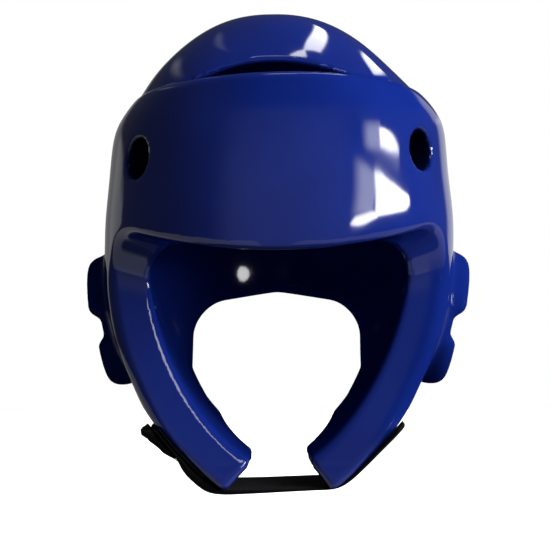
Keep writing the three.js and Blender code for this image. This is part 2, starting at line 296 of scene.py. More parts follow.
def dippedVinyl():
    # a thick glossy skin: cloudy colour, darkened towards the dark colour by the painted shade attribute,
    # smeared roughness and a faint orange peel
    material, shader, place, _ = newMaterial("dippedVinyl")
    gloss = place.attribute("gloss")
    paintedShade = place.attribute("paintedShade")
    cloud = place.noise(*dipFinish["cloud"]).between(*dipFinish["cloudSpan"])
    smear = place.noise(*dipFinish["smear"]).between(*dipFinish["smearSpan"])
    peel = place.noise(*dipFinish["peel"])
    roughness = dipFinish["roughness"] + dipFinish["smearRoughness"] * smear
    feed(
        shader,
        Base_Color=paintedShade.blend(dipFinish["dark"], cloud.blend(dipFinish["deep"], dipFinish["full"])),
        Roughness=roughness + dipFinish["dullRoughness"] * (1.0 - gloss),
        Specular_IOR_Level=0.0,
        Coat_Weight=gloss,
        Coat_Roughness=dipFinish["coatRoughness"],
        Coat_IOR=dipFinish["coatIor"],
        Normal=peel.bump(dipFinish["peelStrength"], dipFinish["peelHeight"]),
    )
    return material


# ribs is a number across the band, pick a length along it in millimetres
webbingFinish = {
    "ribs": 13.0, "ribHeight": 0.3, "pick": 1.3, "pickHeight": 0.2,
    "fuzz": (900.0, 3.0, 0.7), "fuzzHeight": 0.4,
    "dark": (0.0004, 0.0005, 0.0007, 1.0), "light": (0.0024, 0.0028, 0.004, 1.0),
    "weaveTone": 0.7, "fuzzTone": 0.5, "toneSpan": (0.2, 1.0),
    "roughness": 0.78, "fuzzRoughness": 0.15, "specular": 0.08, "sheen": 0.03, "sheenRoughness": 0.5,
    "bumpStrength": 0.6, "bumpHeight": 0.0006,
}


def elasticWebbing():
    # flat ribbed elastic: fine lengthways ribs crossed by the picks of the weave, and fuzz
    material, shader, place, flat = newMaterial("elasticWebbing")
    across, along, _ = flat.parts()
    ribs = across.maths("SINE", across * (2.0 * math.pi * webbingFinish["ribs"]))
    picks = along.maths("SINE", along * (2.0 * math.pi / webbingFinish["pick"]))
    weave = 0.5 + webbingFinish["ribHeight"] * ribs + webbingFinish["pickHeight"] * ribs * picks
    fuzz = place.noise(*webbingFinish["fuzz"])
    tone = weave * webbingFinish["weaveTone"] + fuzz * webbingFinish["fuzzTone"]
    tone = tone.between(*webbingFinish["toneSpan"])
    height = weave + webbingFinish["fuzzHeight"] * fuzz
    feed(
        shader,
        Base_Color=tone.blend(webbingFinish["dark"], webbingFinish["light"]),
        Roughness=webbingFinish["roughness"] + webbingFinish["fuzzRoughness"] * fuzz,
        Specular_IOR_Level=webbingFinish["specular"],
        Sheen_Weight=webbingFinish["sheen"],
        Sheen_Roughness=webbingFinish["sheenRoughness"],
        Normal=height.bump(webbingFinish["bumpStrength"], webbingFinish["bumpHeight"]),
    )
    return material


pileFinish = {
    "loopTufts": 420.0, "hookTufts": 300.0, "tuftHeight": 0.8, "fuzz": (1300.0, 3.0, 0.7), "fuzzHeight": 0.5,
    "dark": (0.0004, 0.0005, 0.0006, 1.0), "light": (0.0025, 0.0027, 0.0033, 1.0), "toneSpan": (0.2, 1.1),
    "roughness": 0.85, "fuzzRoughness": 0.1, "specular": 0.08, "sheen": 0.025,
    "bumpStrength": 0.8, "bumpHeight": 0.001,
}


def pileTape(name, tufts):
    # hook or loop tape: a dense pile of little tufts, high where a tuft is near
    material, shader, place, _ = newMaterial(name)
    away = place.node("ShaderNodeTexVoronoi", {"feature": "F1"}, Vector=place, Scale=tufts)
    fuzz = place.noise(*pileFinish["fuzz"])
    height = (1.0 - away) * pileFinish["tuftHeight"] + fuzz * pileFinish["fuzzHeight"]
    feed(
        shader,
        Base_Color=height.between(*pileFinish["toneSpan"]).blend(pileFinish["dark"], pileFinish["light"]),
        Roughness=pileFinish["roughness"] + pileFinish["fuzzRoughness"] * fuzz,
        Specular_IOR_Level=pileFinish["specular"],
        Sheen_Weight=pileFinish["sheen"],
        Normal=height.bump(pileFinish["bumpStrength"], pileFinish["bumpHeight"]),
    )
    return material


# Shell: an implicit solid built up from level outlines, then cut and rounded

# z is 0 at the top of the hollow; a span on a depth is a span on -z
shellForm = {
    "jawTop": -125.0, "jawDepth": 131.3, "jawPower": 1.7, "jawEnd": 0.985,
    "jawFull": 1.6, "jawFullZ": -210.0, "jawFullHalf": 22.0,
    "sideKnots": (-125.0, -100.0, -76.0, -60.0, -52.0, -46.0, -40.0, -34.0, -28.0),
    "sideWidths": (99.4, 99.2, 96.8, 95.4, 94.2, 92.2, 88.6, 83.6, 77.0),
    "frontLow": 117.0, "frontLean": 9.8, "frontLeanSpan": (-150.0, 10.0),
    "frontSwell": 2.5, "swellMiddle": -75.0, "swellHalf": 45.0,
    "back": 115.5, "backMiddle": -110.0, "backTuckLow": 0.00195, "backTuckHigh": 0.0014,
    "squarePower": 3.5, "roundPower": 2.3, "roundSpan": (-205.0, -110.0),
    "bandTop": -27.4, "bandArch": 0.00065, "bandArchHalf": 50.0,
    "bandEdge": 4.0, "bandEdgeBack": 13.0, "bandEdgeSpan": (0.0, 80.0),
    "hollowWidth": 76.5, "hollowJawTop": -112.0, "hollowJawDepth": 122.0,
    "hollowFront": 93.0, "hollowFrontLow": 120.0, "hollowFrontDepths": (110.0, 135.0),
    "hollowBack": 93.5, "hollowTuck": 0.0017, "hollowSpring": -75.0, "hollowFullness": 2.2,
    "crownWidth": 108.0, "crownLength": 122.0, "crownRise": 91.3, "crownY": 4.0, "crownBase": -72.3,
    "crownStart": -47.0, "crownFlank": 0.9, "crownTop": 2.3, "crownFillet": 0.8,
    "lipHeight": -17.6, "lipFall": 0.0055, "lipMiddle": -2.5, "lipBack": -45.0, "lipEdge": 2.4,
    "faceTopY": -49.0, "faceTopZ": -108.0, "faceLowY": -89.0, "faceLowZ": -258.0,
    "browMiddle": -118.5, "browSide": -105.5, "browSideX": 84.0, "faceCorner": 34.0,
    "faceEdge": 3.0, "innerEdge": 3.5, "outerEdge": 6.5,
    "cheekDepths": (120.0, 145.0), "outerShare": (0.3, 0.7), "outerEdgeSpan": (-222.0, -200.0),
    "chinLeft": (13.4, -229.6, 26.6, -243.0), "chinRight": (12.8, -225.4, 26.2, -242.4),
    "chinEdge": 4.5, "chinSlant": 0.03,
    "rimKnots": (-130.0, -60.0, -40.0, -20.0, 20.0, 60.0, 130.0),
    "rimHeights": (-262.0, -242.6, -239.5, -233.0, -220.0, -203.0, -168.0), "rimSlope": 0.93, "rimEdge": 4.0,
    "napeWidth": 53.0, "napePeak": -142.0, "napeSlope": 0.16, "napeBlunt": 3.0, "napeCorner": 20.0,
    "napeStart": 30.0, "napeStartEdge": 10.0, "napeEdge": 5.0,
    "ventPlace": (75.6, -78.0, -67.4), "ventSlant": 0.011, "ventTurn": 55.0, "ventRadius": 10.6,
    "ventReach": 40.0, "ventEdge": 2.6,
    "dent": 0.35, "dentWaves": ((17.0, 0.6), (21.0, 1.1), (19.0, 0.3)),
    "leanKnots": (-256.0, -200.0, -140.0, -110.0, -60.0, -40.0, -30.0, -18.0, 0.0, 22.0),
    "leans": (0.0, -0.9, 0.0, 0.9, 1.0, 1.2, 0.4, -1.4, -2.3, -2.8),
    "shear": 0.014, "shearSpan": (-140.0, -90.0),
}
# two lobes over a floor: each outer face passes through an x and a z and leans by an angle
earForm = {
    "place": (104.2, 2.0, -159.0), "tilt": 14.0, "radius": 37.5, "depth": 30.0, "fillet": 4.0,
    "upper": (106.2, -149.5, 9.0), "upperRim": 5.5, "upperEnd": -154.5, "upperEndEdge": 6.0,
    "lower": (99.4, -177.0, 9.0), "lowerRim": 6.5, "lowerEnd": -167.0, "lowerEndEdge": 5.0,
    "floor": (97.8, -161.0, 12.0), "floorRim": 5.0, "floorFillet": 3.0, "lowerFillet": 4.0,
    "hole": 12.0, "holeDepth": 60.0, "holeEdge": 4.0,
}

sideWidth = cubicThrough(shellForm["sideKnots"], shellForm["sideWidths"])
leanAt = cubicThrough(shellForm["leanKnots"], shellForm["leans"])
rimHeight = cubicThrough(shellForm["rimKnots"], shellForm["rimHeights"])


def outerFront(z):
    # leans back towards the top, and swells half way up the forehead band
    away = (z - shellForm["swellMiddle"]) / shellForm["swellHalf"]
    swell = shellForm["frontSwell"] * np.maximum(1.0 - away ** 2, 0.0)
    lean = shellForm["frontLean"] * smoothStep(z, *shellForm["frontLeanSpan"])
    return shellForm["frontLow"] + swell - lean


def outerBack(z):
    # tucks in along one parabola downwards and along another upwards
    away = z - shellForm["backMiddle"]
    tuck = np.where(away < 0.0, shellForm["backTuckLow"], shellForm["backTuckHigh"])
    return shellForm["back"] - tuck * away ** 2


def outerPower(z):
    # the front is squarer at the jaw than at the forehead
    return towards(shellForm["squarePower"], shellForm["roundPower"], smoothStep(z, *shellForm["roundSpan"]))


def jawShare(z, top, depth):
    # 1 above the jaw's top, and closing below it along a superellipse
    power = shellForm["jawPower"]
    drop = np.clip((top - z) / depth, 0.0, shellForm["jawEnd"])
    return (1.0 - drop ** power) ** (1.0 / power)


def outerWidth(z):
    # the sides follow a spline above the jaw, close below it and are a little fuller half way down
    away = (z - shellForm["jawFullZ"]) / shellForm["jawFullHalf"]
    full = shellForm["jawFull"] * np.maximum(1.0 - away ** 2, 0.0) ** 2
    return sideWidth(z) * jawShare(z, shellForm["jawTop"], shellForm["jawDepth"]) + full


def hollowHalf(z):
    # half width of the hollow, which closes along the jaw as the outside does
    return shellForm["hollowWidth"] * jawShare(z, shellForm["hollowJawTop"], shellForm["hollowJawDepth"])


def hullField(x, y, z):
    # level outlines stacked over the height: below 0 inside, 0 on the outside of the shell
    power = outerPower(z)
    return planNorm(x, y, outerWidth(z), outerFront(z), outerBack(z), power, shellForm["roundPower"]) - 1.0


def crownField(x, y, z):
    # a bell: its spread falls with a high power of the level outline and a low power of the height
    power = shellForm["roundPower"]
    length = shellForm["crownLength"]
    level = planNorm(x, y - shellForm["crownY"], shellForm["crownWidth"], length, length, power, power)
    rise = np.maximum(z - shellForm["crownBase"], 0.0) / shellForm["crownRise"]
    return level ** shellForm["crownTop"] + rise ** shellForm["crownFlank"] - 1.0


def hollowField(x, y, z):
    # level outlines that close in a dome above the spring and along the jaw below
    low = smoothStep(-z, *shellForm["hollowFrontDepths"])
    front = towards(shellForm["hollowFront"], shellForm["hollowFrontLow"], low)
    below = np.minimum(z - shellForm["hollowJawTop"], 0.0)
    back = shellForm["hollowBack"] - shellForm["hollowTuck"] * below ** 2
    level = planNorm(x, y, hollowHalf(z), front, back, outerPower(z), shellForm["roundPower"])
    rise = np.maximum(z - shellForm["hollowSpring"], 0.0) / -shellForm["hollowSpring"]
    full = shellForm["hollowFullness"]
    return (level ** full + rise ** full) ** (1.0 / full) - 1.0


def faceCut(x, y, z):
    # in front of the cheeks' flat faces and under the arched brow
    run = shellForm["faceLowY"] - shellForm["faceTopY"]
    fall = shellForm["faceLowZ"] - shellForm["faceTopZ"]
    ahead = y - shellForm["faceTopY"] - run * (z - shellForm["faceTopZ"]) / fall
    side = ahead / math.hypot(1.0, run / fall)
    arch = (shellForm["browSide"] - shellForm["browMiddle"]) / shellForm["browSideX"] ** 2
    slope = np.hypot(1.0, 2.0 * arch * x)
    brow = (z - shellForm["browMiddle"] - arch * x ** 2) / slope
    return roundBoth(side, brow, shellForm["faceCorner"])


def chinCut(x, y, z):
    # the gap between the tips widens downwards and towards the front
    def edge(innerX, innerZ, outerX, outerZ):
        length = math.hypot(outerX - innerX, outerZ - innerZ)
        return ((np.abs(x) - innerX) * (innerZ - outerZ) - (innerZ - z) * (outerX - innerX)) / length

    across = np.where(x < 0.0, edge(*shellForm["chinLeft"]), edge(*shellForm["chinRight"]))
    return across + shellForm["chinSlant"] * (y - shellForm["faceLowY"])


def rimCut(y, z):
    # below the spline of the lower rim, as a distance square to its slope
    return (z - rimHeight(y)) * shellForm["rimSlope"]


def napeCut(x, y, z):
    # an arch with a slight blunt peak, no wider than the hollow further down
    side = np.abs(x) - np.minimum(shellForm["napeWidth"], hollowHalf(z))
    fall = shellForm["napeSlope"] * np.sqrt(x ** 2 + shellForm["napeBlunt"] ** 2)
    arch = roundBoth(side, z - shellForm["napePeak"] + fall, shellForm["napeCorner"])
    return roundBoth(arch, shellForm["napeStart"] - y, shellForm["napeStartEdge"])


def lipCut(x, y, z):
    # the slit under the crown's front lip, which falls away to both sides along a parabola
    under = z - shellForm["lipHeight"] + shellForm["lipFall"] * (x - shellForm["lipMiddle"]) ** 2
    return np.maximum(under, y - shellForm["lipBack"])


def ventCut(x, y, z):
    # a level bore through each side of the forehead
    turn = math.radians(shellForm["ventTurn"])
    px, py, pz = shellForm["ventPlace"]
    away = np.abs(x) - px
    along = away * math.sin(turn) - (y - py) * math.cos(turn)
    across = away * math.cos(turn) + (y - py) * math.sin(turn)
    bore = np.hypot(across, z - pz - shellForm["ventSlant"] * x) - shellForm["ventRadius"]
    return np.maximum(bore, -along - shellForm["ventReach"])


def earAxis(x, y, z):
    # distance out along the cup's axis, and away from that axis
    px, py, pz = earForm["place"]
    turn = math.radians(earForm["tilt"])
    away = np.abs(x) - px
    along = away * math.cos(turn) - (z - pz) * math.sin(turn)
    across = away * math.sin(turn) + (z - pz) * math.cos(turn)
    return along, np.hypot(across, y - py)


def earFace(x, z, face):
    # height above a sloping outer face through one point
    px, pz, tilt = face
    turn = math.radians(tilt)
    return (np.abs(x) - px) * math.cos(turn) - (z - pz) * math.sin(turn)


def earCup(x, y, z):
    # one round wall under three faces: the upper lobe, the lower lobe and the floor between them
    along, away = earAxis(x, y, z)
    wall = away - earForm["radius"]
    upper = roundBoth(wall, earFace(x, z, earForm["upper"]), earForm["upperRim"])
    upper = roundBoth(upper, earForm["upperEnd"] - z, earForm["upperEndEdge"])
    lower = roundBoth(wall, earFace(x, z, earForm["lower"]), earForm["lowerRim"])
    lower = roundBoth(lower, z - earForm["lowerEnd"], earForm["lowerEndEdge"])
    floor = roundBoth(wall, earFace(x, z, earForm["floor"]), earForm["floorRim"])
    cup = roundEither(roundEither(upper, floor, earForm["floorFillet"]), lower, earForm["lowerFillet"])
    return np.maximum(cup, -along - earForm["depth"])


def earHole(x, y, z):
    # a bore along the cup's axis
    along, away = earAxis(x, y, z)
    return np.maximum(away - earForm["hole"], -along - earForm["holeDepth"])


def straighten(points):
    # undoes the lean of the soft shell, so that the fields above stand upright
    x, y, z = points.T
    z = z - shellForm["shear"] * x * smoothStep(z, *shellForm["shearSpan"])
    return x - leanAt(z), y, z


def outwards(hull, hollow):
    # 0 on the wall of the hollow and 1 on the outside of the shell
    return np.clip(hollow / np.maximum(hollow - hull, 1.0), 0.0, 1.0)


def faceRounding(z, across):
    # crisp under the brow, round on the cheeks, and roundest along their outer edges above the strap
    cheek = smoothStep(-z, *shellForm["cheekDepths"])
    outer = smoothStep(across, *shellForm["outerShare"])
    above = smoothStep(z, *shellForm["outerEdgeSpan"])
    more = (shellForm["innerEdge"] - shellForm["faceEdge"]) * (1.0 - outer)
    more = more + (shellForm["outerEdge"] - shellForm["faceEdge"]) * outer * above
    return shellForm["faceEdge"] + cheek * more


def shellField(points):
    # hull, crown and ear cups joined, then every opening cut away with its own round
    x, y, z = straighten(points)
    hull = asDistance(hullField, x, y, z)
    hollow = asDistance(hollowField, x, y, z)
    behind = smoothStep(y, *shellForm["bandEdgeSpan"])
    edge = towards(shellForm["bandEdge"], shellForm["bandEdgeBack"], behind)
    arch = shellForm["bandArch"] * np.minimum(np.abs(x), shellForm["bandArchHalf"]) ** 2
    solid = roundBoth(hull, z - (shellForm["bandTop"] - arch), edge)
    crown = np.maximum(asDistance(crownField, x, y, z), shellForm["crownStart"] - z)
    crown = roundBoth(crown, -lipCut(x, y, z), shellForm["lipEdge"])
    solid = roundEither(solid, crown, shellForm["crownFillet"])
    solid = roundEither(solid, earCup(x, y, z), earForm["fillet"])
    dent = shellForm["dent"]
    for value, (length, start) in zip((x, y, z), shellForm["dentWaves"]):
        dent = dent * np.sin(value / length + start)
    solid = np.maximum(solid + dent, roundBoth(-hollow, -chinCut(x, y, z), shellForm["chinEdge"]))
    solid = roundBoth(solid, -faceCut(x, y, z), faceRounding(z, outwards(hull, hollow)))
    solid = roundBoth(solid, -rimCut(y, z), shellForm["rimEdge"])
    solid = roundBoth(solid, -napeCut(x, y, z), shellForm["napeEdge"])
    solid = roundBoth(solid, -ventCut(x, y, z), shellForm["ventEdge"])
    return roundBoth(solid, -earHole(x, y, z), earForm["holeEdge"])


# where the skin is dull, or dark with painted shade: spans of distance in millimetres, and shares from 0 to
# 1
skinForm = {
    "behindFace": (6.0, 16.0), "hollowFrom": 0.3, "hollowFront": 2.0, "hollowBehind": 9.0,
    "backWall": (35.0, 60.0), "backGloss": 0.8, "ventWall": (0.3, 1.6), "earReach": 1.8,
    "edgeAcross": (0.52, 0.66), "edgeFace": (6.0, 11.0), "shoulderDull": 0.8, "rimReach": (5.0, 10.0),
    # how strongly painted shade darkens the vents, the left and right ear cups and the right cheek under the
    # brow
    "ventPaintedShade": 0.9, "leftEarPaintedShade": 0.45, "rightEarPaintedShade": 0.1, "cheekPaintedShadow": 0.15,
}
# parts of the shell by place
skinZones = {
    "cheekEdge": {"depth": (118.0, 135.0), "height": (-228.0, -205.0), "right": (0.0, 10.0)},
    "sideShoulder": {"height": (-50.0, -43.0), "depth": (26.0, 28.0), "right": (12.0, 24.0),
                     "forward": (66.0, 72.0)},
    "midShoulder": {"height": (-50.0, -43.0), "depth": (29.5, 31.0), "right": (-40.0, -10.0),
                    "forward": (66.0, 72.0)},
    "crownFoot": {"height": (-31.0, -29.0), "depth": (23.5, 25.5), "right": (34.0, 44.0),
                  "forward": (50.0, 58.0)},
    # the right cheek, where a painted shadow of the brow darkens the base colour
    "shadowedRightCheek": {"depth": (116.0, 130.0), "right": (0.0, 20.0)},
}


def skinZone(x, y, z, spans):
    # the product of one smooth step for each way that the zone names
    ways = {"right": x, "forward": -y, "height": z, "depth": -z}
    return np.prod([smoothStep(ways[way], *span) for way, span in spans.items()], axis=0)


def skinState(points):
    # gloss is full outside, and low in the hollow, in the vents, on the ear cups, along the lower rim,
    # on parts of the shoulder and on the right cheek's edge
    # shade is painted shade: dark in the vent bores, and less than full on the ear cups and as the brow's
    # shadow on the right cheek
    x, y, z = straighten(points)
    hull = asDistance(hullField, x, y, z)
    hollow = asDistance(hollowField, x, y, z)
    face = faceCut(x, y, z)
    zones = {name: skinZone(x, y, z, spans) for name, spans in skinZones.items()}
    behind = smoothStep(face, *skinForm["behindFace"])
    reach = towards(skinForm["hollowFront"], skinForm["hollowBehind"], behind)
    inside = 1.0 - smoothStep(hollow, skinForm["hollowFrom"], reach)
    inside = inside * (1.0 - skinForm["backGloss"] * smoothStep(y, *skinForm["backWall"]))
    vents = 1.0 - smoothStep(ventCut(x, y, z), *skinForm["ventWall"])
    ears = np.exp(-(earCup(x, y, z) / skinForm["earReach"]) ** 2)
    edge = smoothStep(outwards(hull, hollow), *skinForm["edgeAcross"]) * zones["cheekEdge"]
    edge = edge * (1.0 - smoothStep(face, *skinForm["edgeFace"]))
    shoulder = np.maximum(skinForm["shoulderDull"] * zones["sideShoulder"], zones["midShoulder"])
    shoulder = np.maximum(shoulder, zones["crownFoot"])
    rim = 1.0 - smoothStep(np.minimum(rimCut(y, z), napeCut(x, y, z)), *skinForm["rimReach"])
    gloss = np.prod([1.0 - dull for dull in (inside, vents, ears, edge, shoulder, behind * rim)], axis=0)
    # painted shade on the ear cups, heavier on the left, where little light reaches
    earPaintedShade = np.where(x < 0.0, skinForm["leftEarPaintedShade"], skinForm["rightEarPaintedShade"])
    # the base colour is darkened by painted shade in the vent bores and on the ear cups
    paintedShade = (1.0 - skinForm["ventPaintedShade"] * vents) * (1.0 - earPaintedShade * ears)
    # the right cheek also takes the brow's painted shadow
    return {"gloss": gloss, "paintedShade": paintedShade * (1.0 - skinForm["cheekPaintedShadow"] * zones["shadowedRightCheek"])}


shellGrid = {
    "cell": 2.0, "coarse": 4, "low": (-120.0, -124.0, -256.0), "blocks": (30, 31, 36), "near": 1.8,
    "relaxes": 5, "settles": 2, "slopeStep": 0.2, "leastSlope": 0.2,
}


def settle(points):
    # one step back to the surface: along the field's slope, by its value over the slope squared
    here = shellField(points)
    slope = np.empty_like(points)
    for d in range(3):
        ahead = points.copy()
        ahead[:, d] += shellGrid["slopeStep"]
        slope[:, d] = (shellField(ahead) - here) / shellGrid["slopeStep"]
    return points - slope * (here / np.maximum((slope ** 2).sum(1), shellGrid["leastSlope"]))[:, None]


def makeShell(material):
    # the field is sampled coarsely first, then finely near its surface, and the net is evened out on it
    cell, coarse, blocks = shellGrid["cell"], shellGrid["coarse"], shellGrid["blocks"]
    low = np.array(shellGrid["low"])
    axes = [low[d] + cell * coarse * np.arange(blocks[d]) for d in range(3)]
    centres = np.stack(np.meshgrid(*axes, indexing="ij"), axis=-1) + cell * (coarse - 1) / 2.0
    rough = shellField(centres.reshape(-1, 3)).reshape(blocks)
    fine = rough.repeat(coarse, 0).repeat(coarse, 1).repeat(coarse, 2)
    near = np.argwhere(np.abs(fine) < cell * coarse * shellGrid["near"])
    fine[tuple(near.T)] = shellField(near * cell + low)
    points, quads = surfaceNet(fine, low, cell)
    for _ in range(shellGrid["relaxes"]):
        points = settle(relax(points, quads))
    for _ in range(shellGrid["settles"]):
        points = settle(points)
    print("shell:", len(points), "vertices, surface within", float(np.abs(shellField(points)).max()), "mm")
    shell = meshObject("shell_skin", points, quads, material)
    for name, values in skinState(points).items():
        layer = shell.data.attributes.new(name, "FLOAT", "POINT")
        layer.data.foreach_set("value", values.astype(np.float32))
    return shell


# Chin strap and closure: bands laid on the cheeks

strapForm = {
    "frontY": -82.0, "width": 48.0, "thickness": 1.5, "gap": 0.35, "flatness": 0.25, "edgeRound": 0.6,
    "endZ": -212.0, "endLift": 0.9, "liftFrom": -226.0, "liftPower": 1.5, "turnZ": -241.0,
    "bridgeX": 30.0, "bridgeRight": -242.8, "bridgeLeft": -243.9, "bridgeTilt": 1.2, "bridgeSag": 0.6,
    "fold": 3.2, "foldDepths": (226.5, 230.5), "foldUnder": 0.5,
    "cheekRows": 40, "bridgeRows": 24, "around": 64, "spacing": 0.8, "ease": 36,
}
patchForm = {"gap": 0.35, "thickness": 1.6, "width": 46.0, "lowZ": -236.0, "topZ": -212.5, "rows": 40}
tabForm = {
    "gap": 0.6, "thickness": 2.2, "thinShare": 0.2, "thinSpan": (0.0, 0.35), "flare": 2.6, "width": 46.5,
    "lowZ": -226.0, "topZ": -210.5, "rows": 44, "lump": 0.3, "ripples": ((1.9, 1.3), (3.3, -1.0 / 1.4)),
}


def cheekWidth(y, z):
    # half width of the hull's level outline at this y
    power = outerPower(z)
    return outerWidth(z) * (1.0 - np.abs(y / outerFront(z)) ** power) ** (1.0 / power)


def bandAcross(width):
    # a closed section with round edges: place across the band, and height from 0 on its inner face to 1
    turn = np.linspace(0.0, 2.0 * math.pi, strapForm["around"], endpoint=False)
    across = np.sign(np.cos(turn)) * np.abs(np.cos(turn)) ** strapForm["flatness"] * width / 2.0
    height = 0.5 + 0.5 * np.sign(np.sin(turn)) * np.abs(np.sin(turn)) ** strapForm["edgeRound"]
    return across[None, :], height[None, :]


def cheekBand(side, z, width, gap, thickness):
    # a band up one cheek: each height's section lies across the cheek and stands off along its normal
    z = z[:, None]
    gap, thickness = (np.broadcast_to(value, (len(z),))[:, None] for value in (gap, thickness))
    middle = strapForm["frontY"] + strapForm["width"] / 2.0
    across, height = bandAcross(width)
    y = middle + across
    rise = 2.0  # the height over which the cheek's slope is taken
    run = cheekWidth(middle, z + rise / 2.0) - cheekWidth(middle, z - rise / 2.0)
    length = np.hypot(rise, run)
    out = gap + height * thickness
    x = side * (cheekWidth(y, z) + out * rise / length)
    return np.stack(np.broadcast_arrays(x, y, z - out * run / length), axis=-1)


def runAlong(points):
    # length along the band's middle line up to each section
    steps = np.linalg.norm(np.diff(points.mean(axis=1), axis=0), axis=1)
    return np.concatenate([[0.0], np.cumsum(steps)])


def evenRows(points, spacing):
    # the sections again, evenly spaced along the band's middle line
    run = runAlong(points)
    place = np.linspace(0.0, run[-1], int(run[-1] / spacing) + 1)
    i = np.clip(np.searchsorted(run, place, side="right") - 1, 0, len(run) - 2)
    share = ((place - run[i]) / (run[i + 1] - run[i]))[:, None, None]
    return points[i] * (1.0 - share) + points[i + 1] * share


def closedBand(name, points, material):
    # quads between neighbouring sections, and a strip of quads over each end;
    # u runs across the band from -0.5 to 0.5, and v along it in millimetres
    rows, columns = points.shape[:2]
    index = np.arange(rows * columns).reshape(rows, columns)
    nextColumn = np.roll(index, -1, axis=1)
    quads = np.stack([index[:-1], nextColumn[:-1], nextColumn[1:], index[1:]], axis=-1).reshape(-1, 4)
    i = np.arange(columns // 2 - 1)
    for row, turned in ((index[0], True), (index[-1], False)):
        end = np.stack([row[i], row[i + 1], row[(-i - 2) % columns], row[(-i - 1) % columns]], axis=-1)
        quads = np.concatenate([quads, end[:, ::-1] if turned else end])
    piece = meshObject(name, points.reshape(-1, 3), quads, material)
    across = bandAcross(1.0)[0]
    uv = np.stack(np.broadcast_arrays(across, runAlong(points)[:, None]), axis=-1).reshape(-1, 2)
    layer = piece.data.uv_layers.new(name="UVMap")
    corner = np.empty(len(piece.data.loops), np.int32)
    piece.data.loops.foreach_get("vertex_index", corner)
    layer.data.foreach_set("uv", uv[corner].astype(np.float32).ravel())
    print(name, "is", round(float(runAlong(points)[-1]), 1), "mm long")
    return piece


def strapSeat():
    # how far the strap stands off the cheek over the loop patch
    return patchForm["gap"] + patchForm["thickness"] + strapForm["gap"]


def makeStrap(material):
    # from the bare end down the right cheek, under the chin tips, and up over the loop patch, corners eased
    # at the left it is folded double, so it thickens under the chin and thins again below the tab
    width, thickness = strapForm["width"], strapForm["thickness"]
    z = np.linspace(strapForm["endZ"], strapForm["turnZ"], strapForm["cheekRows"])
    lift = smoothStep(z, strapForm["liftFrom"], strapForm["endZ"]) ** strapForm["liftPower"]
    right = cheekBand(1.0, z, width, strapForm["gap"] + strapForm["endLift"] * lift, thickness)
    fold = strapForm["fold"] * smoothStep(-z[::-1], *strapForm["foldDepths"])
    left = cheekBand(-1.0, z[::-1], width, strapSeat(), thickness + fold)
    across, height = bandAcross(width)
    share = np.linspace(0.0, 1.0, strapForm["bridgeRows"])[:, None]
    top = towards(strapForm["bridgeRight"], strapForm["bridgeLeft"], share)
    top = top - strapForm["bridgeSag"] * np.sin(math.pi * share) * share
    top = top + strapForm["bridgeTilt"] * across / width
    under = thickness + strapForm["foldUnder"] * strapForm["fold"] * share ** 2
    x = strapForm["bridgeX"] * (1.0 - 2.0 * share)
    y = strapForm["frontY"] + width / 2.0 + across
    bridge = np.stack(np.broadcast_arrays(x, y, top - height * under), axis=-1)
    points = evenRows(np.concatenate([right, bridge, left]), strapForm["spacing"])
    for _ in range(strapForm["ease"]):
        points[1:-1] = 0.25 * (points[:-2] + 2.0 * points[1:-1] + points[2:])
    return closedBand("elastic_strap", points, material)


def makeLoopPatch(material):
    # a flat band on the left cheek, under the strap's end
    z = np.linspace(patchForm["lowZ"], patchForm["topZ"], patchForm["rows"])
    points = cheekBand(-1.0, z, patchForm["width"], patchForm["gap"], patchForm["thickness"])
    return closedBand("loop_patch", points, material)


def makeHookTab(material):
    # the folded end of the closure: thin at its low edge, thicker and lumpier towards its top
    z = np.linspace(tabForm["lowZ"], tabForm["topZ"], tabForm["rows"])
    share = np.linspace(0.0, 1.0, tabForm["rows"])
    seat = strapSeat() + strapForm["thickness"] + tabForm["gap"]
    thin = towards(tabForm["thinShare"], 1.0, smoothStep(share, *tabForm["thinSpan"]))
    thickness = tabForm["thickness"] * thin + tabForm["flare"] * share ** 2
    points = cheekBand(-1.0, z, tabForm["width"], seat, thickness)
    y, z = points[..., 1], points[..., 2]
    ripple = sum(np.sin(y / length + turn * z) for length, turn in tabForm["ripples"])
    points[..., 0] -= tabForm["lump"] * bandAcross(1.0)[1] * share[:, None] * (1.0 + ripple)
    return closedBand("hook_tab", points, material)


# Stage, lights and camera, in metres, watts and degrees

studio = {
    "floorZ": -0.335, "floorHalf": 1.4, "floorColour": (0.9, 0.9, 0.9, 1.0), "floorRoughness": 0.8,
    "cameraPlace": (-0.0016, -0.876, -0.1313), "cameraRoll": 0.3, "lens": 98.8, "sensor": 36.0,
    "washPlace": (0.0, 0.85, 0.45), "washSize": (1.6, 1.2), "washPower": 26.0,
    "glow": 0.045, "paneShare": 0.2,
}
# soft lamps round the object: azimuth from the front to the right, and elevation
lamps = {
    "key": {"azimuth": 58.0, "elevation": 30.0, "reach": 1.3, "size": 0.5, "power": 6.9},
    "top": {"azimuth": 70.0, "elevation": 60.0, "reach": 1.3, "size": 0.5, "power": 2.3},
    "low": {"azimuth": 42.0, "elevation": 4.0, "reach": 1.2, "size": 0.4, "power": 1.1},
}
# a little lamp in the hollow that only the gloss of the back wall shows, as one bright spot
glint = {
    "place": (0.007, 0.0384, -0.1231), "aim": (-0.0224, 0.0902, -0.1304), "spread": 70.0, "blend": 0.5,
    "radius": 0.003, "power": 0.004,
}
